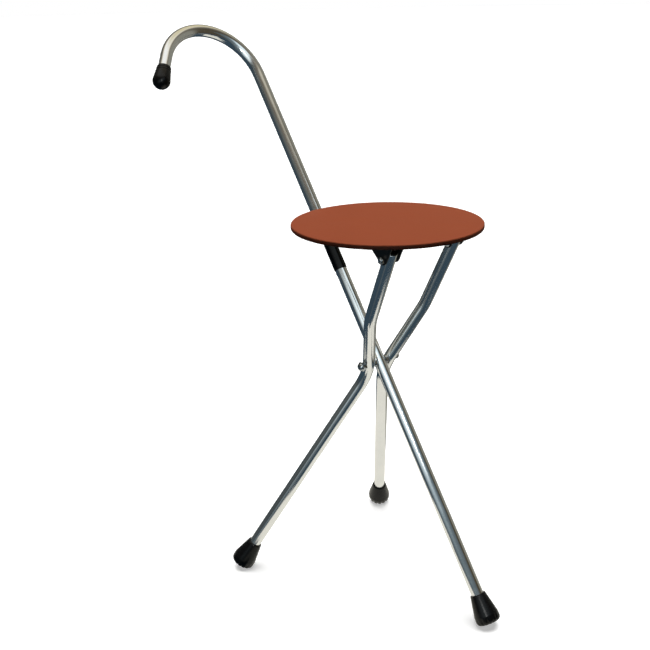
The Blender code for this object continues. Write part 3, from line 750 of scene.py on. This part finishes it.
def show_ferrule(node, floor_point, up, floor_normal, place):
    """Ferrule with a round lip, tread notches in its edge and rings in its sole, worn flat on the floor."""
    lift = ferrule_sole(up, floor_normal)[0]
    half_ring = FERRULE_RING_WIDTH / 2
    profile = [(0, 0)]
    for ring in FERRULE_RING_RADII:
        profile += [(ring - half_ring, 0, EDGE_BREAK), (ring - half_ring, FERRULE_RING_DEPTH, EDGE_BREAK),
                    (ring + half_ring, FERRULE_RING_DEPTH, EDGE_BREAK), (ring + half_ring, 0, EDGE_BREAK)]
    foot = FERRULE_FOOT_DIAMETER / 2
    profile += [(foot, 0, FERRULE_EDGE_RADIUS),
                (foot, FERRULE_SHOULDER_HEIGHT, FERRULE_SHOULDER_ROUND),
                (FERRULE_MOUTH_DIAMETER / 2, FERRULE_LENGTH, FERRULE_LIP_ROUND),
                (SOCKET_RADIUS, FERRULE_LENGTH, FERRULE_LIP_ROUND),
                (SOCKET_RADIUS, FERRULE_SOLE),
                (0, FERRULE_SOLE)]
    sides = TREAD_STEPS * TREAD_NOTCHES
    shape = turned(profile, sides)
    inner = max(FERRULE_RING_RADII) + FERRULE_RING_WIDTH
    for vert in shape.verts:
        radius = math.hypot(vert.co.x, vert.co.y)
        step = round(math.atan2(vert.co.y, vert.co.x) / (2 * math.pi) * sides) % TREAD_STEPS
        if radius > inner and vert.co.z < TREAD_NOTCH_HEIGHT and step < TREAD_CUT_STEPS:
            vert.co.x *= 1 - TREAD_NOTCH_DEPTH / radius
            vert.co.y *= 1 - TREAD_NOTCH_DEPTH / radius
    moved(shape, aligned(floor_point + up * lift, up))
    everything = shape.verts[:] + shape.edges[:] + shape.faces[:]
    cut = bmesh.ops.bisect_plane(shape, geom=everything, plane_co=floor_point, plane_no=floor_normal,
                                 clear_inner=True)
    border = [item for item in cut["geom_cut"] if isinstance(item, bmesh.types.BMEdge)]
    bmesh.ops.edgeloop_fill(shape, edges=border)
    bmesh.ops.recalc_face_normals(shape, faces=shape.faces)
    show(node, shape, place)


def show_handle_cap(tube_end, outward):
    """Cap with a domed end and two grooves near its mouth."""
    crown = tube_end + outward * (CLEARANCE + CAP_END_WALL)
    mouth = CAP_MOUTH_DIAMETER / 2
    slope = (CAP_WIDEST_DIAMETER / 2 - mouth) / (CAP_LENGTH - CAP_DOME_HEIGHT)
    profile = domed(CAP_WIDEST_DIAMETER / 2, CAP_DOME_HEIGHT, CAP_DOME_STEPS)
    for offset in CAP_GROOVE_OFFSETS:
        height = CAP_LENGTH - offset
        skin = mouth + slope * offset
        profile += [(skin, height - CAP_GROOVE_WIDTH / 2, CAP_GROOVE_WIDTH),
                    (skin - CAP_GROOVE_DEPTH, height, CAP_GROOVE_WIDTH / 2),
                    (skin, height + CAP_GROOVE_WIDTH / 2, CAP_GROOVE_WIDTH)]
    profile += [(mouth, CAP_LENGTH, CAP_LIP_ROUND), (SOCKET_RADIUS, CAP_LENGTH, EDGE_BREAK),
                (SOCKET_RADIUS, CAP_END_WALL), (0, CAP_END_WALL)]
    show("handle_cap", moved(turned(profile), aligned(crown, -outward)), CANE_FRAME)


# Cane with the pivot bolt

def show_cane(nut_seat):
    """Cane with its foot, handle cap and stop rivet, and the pivot bolt with its nut."""
    floor_point = -Z_AXIS * CANE_BELOW_PIVOT
    floor_normal = Vector((-math.sin(CANE_TILT), 0, math.cos(CANE_TILT)))
    show_ferrule("cane_ferrule", floor_point, Z_AXIS, floor_normal, CANE_FRAME)
    start = ferrule_sole(Z_AXIS, floor_normal)[1]
    path = [(floor_point + Z_AXIS * start, Z_AXIS)]
    path += bend(Z_AXIS * CANE_UPPER_LENGTH, Z_AXIS, Y_AXIS, CROOK_RADIUS, CROOK_SWEEP)
    bend_end, outward = path[-1]
    tube_end = bend_end + outward * CROOK_TAIL
    path.append((tube_end, outward))
    pivot_hole = PIVOT_BOLT_DIAMETER / 2 + CLEARANCE
    stop = Z_AXIS * (SLEEVE_HINGE_HEIGHT - SLEEVE_BELOW_HINGE - CLEARANCE - RIVET_HEAD_DIAMETER / 2)
    tube = carve(swept_tube(path), rod(pivot_hole, -Y_AXIS * TUBE_DIAMETER, Y_AXIS * TUBE_DIAMETER))
    tube = carve(tube, rod(RIVET_DIAMETER / 2 + CLEARANCE, stop, stop + X_AXIS * TUBE_DIAMETER))
    show("cane_tube", tube, CANE_FRAME)
    show_handle_cap(tube_end, outward)

    dome = domed(RIVET_HEAD_DIAMETER / 2, RIVET_HEAD_HEIGHT)[RIVET_DIMPLE_STEP:]
    head = [(r, h - RIVET_HEAD_HEIGHT) for r, h in dome]
    rim_radius, rim_height = head[0]
    dimple = [(0, rim_height + EDGE_BREAK), (rim_radius - EDGE_BREAK, rim_height + EDGE_BREAK)]
    shank = [(RIVET_DIAMETER / 2, 0), (RIVET_DIAMETER / 2, 2 * TUBE_WALL), (0, 2 * TUBE_WALL)]
    profile = dimple + head + shank
    rivet = moved(turned(profile, SMALL_SIDES), aligned(stop + X_AXIS * SOCKET_RADIUS, -X_AXIS))
    show("sleeve_stop_rivet", rivet, CANE_FRAME)

    nut_bore = CAP_NUT_HEIGHT - CAP_NUT_CROWN
    length = 2 * nut_seat + nut_bore - CLEARANCE
    pivot = bolt(PIVOT_HEAD_DIAMETER, PIVOT_HEAD_HEIGHT, PIVOT_BOLT_DIAMETER, length, nut_bore)
    show("pivot_bolt", moved(pivot, aligned(-Y_AXIS * nut_seat, Y_AXIS)), CANE_FRAME)
    nut = moved(cap_nut(pivot_hole, nut_bore), aligned(Y_AXIS * nut_seat, Y_AXIS))
    show("pivot_cap_nut", nut, CANE_FRAME)


# Legs

def crossing(path, height):
    """Half spacing of a leg's axis and of its outer surface at a height in its own frame."""
    for (above, _), (below, _) in zip(path, path[1:]):
        if above.z >= height > below.z:
            middle = above.lerp(below, (above.z - height) / (above.z - below.z))
            slant = (below - above).angle(-Z_AXIS)
            return abs(middle.y), abs(middle.y) + TUBE_RADIUS / math.cos(slant)
    raise ValueError("the leg does not reach this height")


def show_leg(name, side):
    """Leg tube with its foot, plug, spacer and washer; returns how far out the washer's face is."""
    hinge = Vector((0, side * HINGE_HALF_SPACING, FOLD_ARM_LENGTH))
    upper = Vector((0, side * UPPER_BEND_HALF_SPACING, UPPER_BEND_HEIGHT))
    lower = Vector((0, side * LOWER_BEND_HALF_SPACING, -LOWER_BEND_DEPTH))
    foot = Vector((0, side * FOOT_HALF_SPACING, -LEG_BELOW_PIVOT))
    up = (hinge - upper).normalized()
    top = hinge + up * LEG_END_BEYOND_HINGE
    foot_up = (lower - foot).normalized()
    floor_normal = Vector((math.sin(LEG_TILT), 0, math.cos(LEG_TILT)))
    show_ferrule(name + "_ferrule", foot, foot_up, floor_normal, LEG_FRAME)
    start = ferrule_sole(foot_up, floor_normal)[1]
    path = rounded_path([top, upper, lower, foot + foot_up * start], BEND_RADIUS)
    outward = side * Y_AXIS

    def pivot_hole():
        return rod(PIVOT_BOLT_DIAMETER / 2 + CLEARANCE, -outward * TUBE_RADIUS, outward * 4 * TUBE_DIAMETER)

    def hinge_hole():
        reach = outward * TUBE_DIAMETER
        return rod(HINGE_BOLT_DIAMETER / 2 + CLEARANCE, hinge - reach, hinge + reach)

    tube = carve(carve(swept_tube(path), pivot_hole()), hinge_hole())
    show(name + "_leg_tube", tube, LEG_FRAME)

    plug_radius = BORE_RADIUS - CLEARANCE
    face = CLEARANCE + PLUG_FLANGE
    profile = [(0, -PLUG_LENGTH), (plug_radius, -PLUG_LENGTH, EDGE_BREAK), (plug_radius, CLEARANCE),
               (TUBE_RADIUS, CLEARANCE), (TUBE_RADIUS, face, PLUG_FLANGE / 2), (0, face)]
    plug = carve(moved(turned(profile), aligned(top, up)), hinge_hole())
    show(name + "_leg_plug", plug, LEG_FRAME)

    half_spacing = crossing(path, 0)[0]
    corners = CAP_NUT_WIDTH / HEXAGON_RATIO
    reach = max(PIVOT_HEAD_DIAMETER, PIVOT_WASHER_DIAMETER, corners) / 2
    washer_face = max(crossing(path, height)[1] for height in (-reach, 0, reach)) + PIVOT_WASHER_LEAST
    saddles = (("_pivot_spacer", PIVOT_SPACER_DIAMETER / 2, SOCKET_RADIUS, half_spacing),
               ("_pivot_washer", PIVOT_WASHER_DIAMETER / 2, half_spacing, washer_face))
    for kind, radius, near, far in saddles:
        height = far - near
        blank = turned([(0, 0), (radius, 0), (radius, height, EDGE_BREAK), (0, height)], SMALL_SIDES)
        saddle = carve(moved(blank, aligned(outward * near, outward)), bar_along(path, SOCKET_RADIUS))
        show(name + kind, carve(saddle, pivot_hole()), LEG_FRAME)
    return washer_face


# Seat with its brackets

def bracket_outline(left, right):
    """Side outline of a bracket about its pin: a base under the seat, tapering to a round ear."""
    def tangent_angle(corner, turn):
        slope = math.acos(EAR_RADIUS / math.hypot(corner, BRACKET_BASE))
        return math.atan2(BRACKET_BASE, corner) + turn * slope

    first = tangent_angle(right, -1)
    last = tangent_angle(left, 1) - 2 * math.pi
    steps = math.ceil((first - last) / ARC_STEP) * 2
    outline = [(left, BRACKET_BASE), (left, BRACKET_TOP), (right, BRACKET_TOP), (right, BRACKET_BASE)]
    for i in range(steps + 1):
        angle = first + (last - first) * i / steps
        outline.append((EAR_RADIUS * math.cos(angle), EAR_RADIUS * math.sin(angle)))
    return outline


def channel(half_gap, low, high):
    """Section of bent strip: two ears down from a base, with round bends."""
    outer = half_gap + STRIP_THICKNESS
    inner_bend = STRIP_BEND_RADIUS - STRIP_THICKNESS
    under = high - STRIP_THICKNESS
    return rounded([(outer, low), (outer, high, STRIP_BEND_RADIUS),
                    (-outer, high, STRIP_BEND_RADIUS), (-outer, low),
                    (-half_gap, low), (-half_gap, under, inner_bend),
                    (half_gap, under, inner_bend), (half_gap, low)])


def show_bracket(name, pin, left, right, half_gap, pin_diameter):
    """Bracket of bent strip with its two screws; returns the places of the screws."""
    width = half_gap + STRIP_THICKNESS
    section = [Vector((left, y, z)) for y, z in channel(half_gap, -2 * EAR_RADIUS, BRACKET_TOP)]
    shape = prism(section, X_AXIS * (max(right, EAR_RADIUS) - left + EAR_RADIUS))
    outline = [Vector((x, -2 * width, z)) for x, z in bracket_outline(left, right)]
    shape = carve(shape, prism(outline, Y_AXIS * 4 * width), "INTERSECT")
    shape = carve(shape, rod(pin_diameter / 2 + CLEARANCE, -Y_AXIS * 2 * width, Y_AXIS * 2 * width))
    places = []
    for number, offset in enumerate((-SCREW_SPACING / 2, SCREW_SPACING / 2), 1):
        place = X_AXIS * ((left + right) / 2 + offset)
        hole = rod(SCREW_DIAMETER / 2 + CLEARANCE, place, place + Z_AXIS * 2 * BRACKET_TOP)
        shape = carve(shape, hole)
        head_seat = pin + place + Z_AXIS * (BRACKET_BASE - CLEARANCE)
        length = SEAT_ABOVE_HINGE + SCREW_DEPTH - BRACKET_BASE + CLEARANCE
        screw = bolt(SCREW_HEAD_DIAMETER, SCREW_HEAD_HEIGHT, SCREW_DIAMETER, length, SCREW_DEPTH)
        show(f"{name}_screw_{number}", moved(screw, Matrix.Translation(head_seat)), SEAT_FRAME)
        places.append(pin + place)
    soften(shape, EDGE_BREAK)
    show(name, moved(shape, Matrix.Translation(pin)), SEAT_FRAME)
    return places


def show_hinge_bolt(name, side):
    """Bolt and nut that hinge a leg in its bracket."""
    outward = side * Y_AXIS
    middle = outward * HINGE_HALF_SPACING
    head_seat = BRACKET_HALF_GAP + STRIP_THICKNESS + CLEARANCE
    length = 2 * head_seat + HINGE_NUT_HEIGHT + HINGE_BOLT_PROUD
    threaded = HINGE_NUT_HEIGHT + HINGE_BOLT_PROUD
    shape = bolt(HINGE_HEAD_DIAMETER, HINGE_HEAD_HEIGHT, HINGE_BOLT_DIAMETER, length, threaded)
    show(name + "_hinge_bolt", moved(shape, aligned(middle - outward * head_seat, outward)), SEAT_FRAME)
    nut = hexagon_nut(HINGE_NUT_WIDTH, HINGE_NUT_HEIGHT, HINGE_BOLT_DIAMETER / 2 + CLEARANCE)
    show(name + "_hinge_nut", moved(nut, aligned(middle + outward * head_seat, outward)), SEAT_FRAME)


def show_seat():
    """Everything that turns with the seat, in a frame on the leg-top hinge with +X towards the cane."""
    places = []
    for name, side in (("left", 1), ("right", -1)):
        pin = side * HINGE_HALF_SPACING * Y_AXIS
        places += show_bracket(name + "_bracket", pin, -BRACKET_OUTER_LENGTH, BRACKET_INNER_LENGTH,
                               BRACKET_HALF_GAP, HINGE_BOLT_DIAMETER)
        show_hinge_bolt(name, side)
    slide_right = -SLIDE_BRACKET_SETBACK
    slide_left = slide_right - SLIDE_BRACKET_LENGTH
    places += show_bracket("slide_bracket", FOLD_ARM_LENGTH * X_AXIS, slide_left, slide_right,
                           SLIDE_HALF_GAP, TRUNNION_DIAMETER)

    radius = SEAT_DIAMETER / 2
    low = SEAT_ABOVE_HINGE
    high = low + SEAT_THICKNESS
    profile = [(0, low + SEAT_GROOVE_DEPTH), (SEAT_GATE_RADIUS, low + SEAT_GROOVE_DEPTH, EDGE_BREAK / 2),
               (SEAT_GATE_RADIUS, low, EDGE_BREAK / 2)]
    for offset, depth in ((-1, 0), (-1, 1), (1, 1), (1, 0)):
        groove = SEAT_GROOVE_RADIUS + offset * SEAT_GROOVE_WIDTH / 2
        profile.append((groove, low + depth * SEAT_GROOVE_DEPTH, EDGE_BREAK / 2))
    profile += [(radius, low, SEAT_EDGE_RADIUS), (radius, high, SEAT_EDGE_RADIUS), (0, high)]
    shape = moved(turned(profile, SEAT_SIDES), Matrix.Translation(X_AXIS * SEAT_CENTRE_FROM_HINGE))
    for place in places:
        tip = place + Z_AXIS * (SEAT_ABOVE_HINGE + SCREW_DEPTH + CLEARANCE)
        shape = carve(shape, rod(SCREW_DIAMETER / 2 + CLEARANCE, place, tip))
    seat = show("seat_disc", shape, SEAT_FRAME)
    # The polished tubes mirror the studio alone
    seat.visible_glossy = False


# Sleeve

def show_sleeve():
    """Sleeve with its collar, and the two trunnion screws that hinge it in its bracket."""
    outer = SOCKET_RADIUS + SLEEVE_WALL
    collar = COLLAR_DIAMETER / 2
    half = COLLAR_HALF_LENGTH
    lip = SLEEVE_LIP_ROUND
    middle = (SOCKET_RADIUS, (SLEEVE_ABOVE_HINGE - SLEEVE_BELOW_HINGE) / 2)
    profile = [middle, (SOCKET_RADIUS, -SLEEVE_BELOW_HINGE, lip), (outer, -SLEEVE_BELOW_HINGE, lip),
               (outer, -half, COLLAR_FILLET), (collar, -half, COLLAR_CHAMFER),
               (collar, half, COLLAR_CHAMFER), (outer, half, COLLAR_FILLET),
               (outer, SLEEVE_ABOVE_HINGE, lip), (SOCKET_RADIUS, SLEEVE_ABOVE_HINGE, lip), middle]
    shape = turned(profile)
    hole = rod(TRUNNION_DIAMETER / 2 + CLEARANCE, -Y_AXIS * COLLAR_DIAMETER, Y_AXIS * COLLAR_DIAMETER)
    show("slide_sleeve", carve(shape, hole), SLEEVE_FRAME)
    head_seat = SLIDE_HALF_GAP + STRIP_THICKNESS + CLEARANCE
    length = head_seat - SOCKET_RADIUS - CLEARANCE
    for name, outward in (("left", Y_AXIS), ("right", -Y_AXIS)):
        screw = bolt(TRUNNION_HEAD_DIAMETER, TRUNNION_HEAD_HEIGHT, TRUNNION_DIAMETER, length, length / 2)
        show(name + "_trunnion_screw", moved(screw, aligned(outward * head_seat, -outward)), SLEEVE_FRAME)


washer_face = show_leg("left", 1)
show_leg("right", -1)
show_cane(washer_face + CLEARANCE)
show_seat()
show_sleeve()

# The discs inside the ferrules keep their solids
for node, item in frame["nodes"].items():
    if node.endswith("_disc") and node != "seat_disc":
        item.data.materials.clear()
        item.data.materials.append(FINISHES["fastener"])


# Floor, light and camera

def pale_floor_material():
    """Pale, dull floor with a faint cloud, that glows a little."""
    material, tree, shader = start_material("pale_floor", (0.86, 0.86, 0.85), 0.8)
    cloud = even_noise(tree, 3, 4, 0.5)
    shade = shade_between(tree, cloud, (0.855, 0.855, 0.845), (0.865, 0.865, 0.855))
    tree.links.new(shade, shader.inputs["Base Color"])
    shader.inputs["Specular IOR Level"].default_value = 0.1
    shader.inputs["Emission Color"].default_value = (1, 1, 1, 1)
    shader.inputs["Emission Strength"].default_value = FLOOR_GLOW
    return material


def glowing_material(name, colour, strength):
    """Material that only gives light; returns the material, its nodes and its shader."""
    material, tree, shader = start_material(name, (0, 0, 0), 1)
    shader.inputs["Specular IOR Level"].default_value = 0
    shader.inputs["Emission Color"].default_value = (*colour, 1)
    shader.inputs["Emission Strength"].default_value = strength
    return material, tree, shader


def add_stage(name, shape, material, camera, glossy):
    """Piece of the studio, seen only by the kinds of ray that it is for."""
    made = add_object(name, smooth_mesh(name, shape, material))
    made.visible_camera = camera
    made.visible_glossy = glossy
    made.visible_diffuse = False
    made.visible_shadow = False


def add_floor():
    """Wide pale floor, a pale backdrop round it, and the white cards that the tubes reflect."""
    floor_shape = bmesh.new()
    bmesh.ops.create_circle(floor_shape, cap_ends=True, segments=STUDIO_SIDES, radius=STUDIO_RADIUS)
    moved(floor_shape, Matrix.Translation(-Z_AXIS * FLOOR_GAP))
    add_stage("floor", floor_shape, pale_floor_material(), camera=True, glossy=False)
    wall = [(STUDIO_RADIUS, -FLOOR_GAP), (STUDIO_RADIUS, STUDIO_RADIUS, STUDIO_RADIUS / 2),
            (0, STUDIO_RADIUS)]
    white = glowing_material("backdrop", (1, 1, 1), BACKDROP_GLOW)[0]
    add_stage("backdrop", turned(wall, STUDIO_SIDES), white, camera=True, glossy=False)
    cards = bmesh.new()
    for (left, front), (right, back) in CARDS:
        corners = [(left, front), (right, front), (right, back), (left, back)]
        cards.faces.new([cards.verts.new((x, y, -FLOOR_GAP)) for x, y in corners])
    add_stage("cards", cards, glowing_material("cards", CARD_COLOUR, 1)[0], camera=False, glossy=True)


def direction(azimuth, elevation):
    """Unit vector towards an azimuth and an elevation in degrees."""
    turn = math.radians(azimuth)
    rise = math.radians(elevation)
    return Vector((math.cos(rise) * math.cos(turn), math.cos(rise) * math.sin(turn), math.sin(rise)))


def add_sun():
    """Very soft light from above that lights the dull surfaces alone."""
    light = bpy.data.lights.new("top_light", "SUN")
    light.angle = math.radians(SUN_SPREAD)
    light.energy = SUN_STRENGTH
    made = add_object("top_light", light)
    made.rotation_euler = direction(SUN_AZIMUTH, SUN_ELEVATION).to_track_quat("Z", "Y").to_euler()
    made.visible_glossy = False


def add_flash():
    """Small light beside the lens that only the glossy pieces show."""
    light = bpy.data.lights.new("flash", "POINT")
    light.energy = FLASH_POWER
    light.shadow_soft_size = FLASH_RADIUS
    made = add_object("flash", light)
    made.location = PIVOT + CAMERA_FROM_PIVOT
    made.visible_diffuse = False


def in_cone(tree, way, aim):
    """How far a direction is inside a soft box: 1 in its core, 0 past its faded edge."""
    azimuth, elevation, core, edge = aim
    inputs = {0: way, 1: direction(azimuth, elevation)}
    nearness = add_node(tree, "ShaderNodeVectorMath", inputs, operation="DOT_PRODUCT").outputs["Value"]
    low = math.cos(math.radians(edge))
    high = math.cos(math.radians(core))
    inputs = {"Value": nearness, "From Min": low, "From Max": high}
    return add_node(tree, "ShaderNodeMapRange", inputs, interpolation_type="SMOOTHSTEP").outputs[0]


def lit(tree, shade, amount, colour):
    """Shade with a soft box of a colour laid over it; the node's colours are its sockets 6 and 7."""
    inputs = {"Factor": amount, 6: shade, 7: (*colour, 1)}
    return add_node(tree, "ShaderNodeMix", inputs, data_type="RGBA").outputs[2]


def add_band():
    """Curved soft box that rises from one end to the other; only the polished pieces reflect it."""
    shape = bmesh.new()
    layer = shape.loops.layers.uv.new("UVMap")
    columns = []
    for i in range(BAND_STEPS + 1):
        share = i / BAND_STEPS
        azimuth = BAND_AZIMUTHS[0] + share * (BAND_AZIMUTHS[1] - BAND_AZIMUTHS[0])
        middle = BAND_HEIGHTS[0] + share * (BAND_HEIGHTS[1] - BAND_HEIGHTS[0])
        foot = Vector((PIVOT.x, PIVOT.y, middle)) + direction(azimuth, 0) * BAND_DISTANCE
        low = shape.verts.new(foot - Z_AXIS * BAND_HALF_HEIGHT)
        high = shape.verts.new(foot + Z_AXIS * BAND_HALF_HEIGHT)
        columns.append((share, low, high))
    for (near, low, high), (far, next_low, next_high) in zip(columns, columns[1:]):
        face = shape.faces.new((low, next_low, next_high, high))
        for loop, place in zip(face.loops, ((near, 0), (far, 0), (far, 1), (near, 1))):
            loop[layer].uv = place
    material, tree, shader = glowing_material("band", (1, 1, 1), 1)
    parts = add_node(tree, "ShaderNodeSeparateXYZ", {"Vector": coordinates(tree, "UV")}).outputs
    shade = graded(tree, parts["Y"], BAND_SHADES)
    for start, end in BAND_FADES:
        shade = lit(tree, shade, spread(tree, parts["X"], start, end, 0, 1), BAND_SHADES[0][1])
    tree.links.new(shade, shader.inputs["Emission Color"])
    add_stage("band", shape, material, camera=False, glossy=True)


def add_world():
    """Studio that the polished pieces reflect: dark below and round about, pale above, with soft boxes."""
    world = bpy.data.worlds.new("studio")
    bpy.context.scene.world = world
    world.use_nodes = True
    world.cycles_visibility.diffuse = False
    tree = world.node_tree
    way = coordinates(tree, "Generated")
    height = add_node(tree, "ShaderNodeSeparateXYZ", {"Vector": way}).outputs["Z"]
    shades = [((1 + math.sin(math.radians(elevation))) / 2, shade) for elevation, shade in STUDIO_SHADES]
    shade = graded(tree, spread(tree, height, -1, 1, 0, 1), shades)
    for aim, colour in SOFT_BOXES:
        shade = lit(tree, shade, in_cone(tree, way, aim), colour)
    tree.links.new(shade, tree.nodes["Background"].inputs["Color"])


def add_camera():
    """Camera at the photograph's angle."""
    camera = bpy.data.cameras.new("camera")
    camera.sensor_width = SENSOR_WIDTH
    camera.lens = FOCAL_PIXELS / PICTURE_SIZE * SENSOR_WIDTH
    made = add_object("camera", camera)
    eye = PIVOT + CAMERA_FROM_PIVOT
    ahead = (PIVOT + TARGET_FROM_PIVOT - eye).normalized()
    right = ahead.cross(Z_AXIS).normalized()
    up = right.cross(ahead)
    turn = Matrix.Rotation(CAMERA_ROLL, 3, -ahead)
    axes = Matrix((turn @ right, turn @ up, -ahead)).transposed()
    made.matrix_world = Matrix.Translation(eye) @ axes.to_4x4()
    bpy.context.scene.camera = made


add_floor()
add_band()
add_world()
add_sun()
add_flash()
add_camera()
bpy.context.scene.view_settings.view_transform = "Standard"
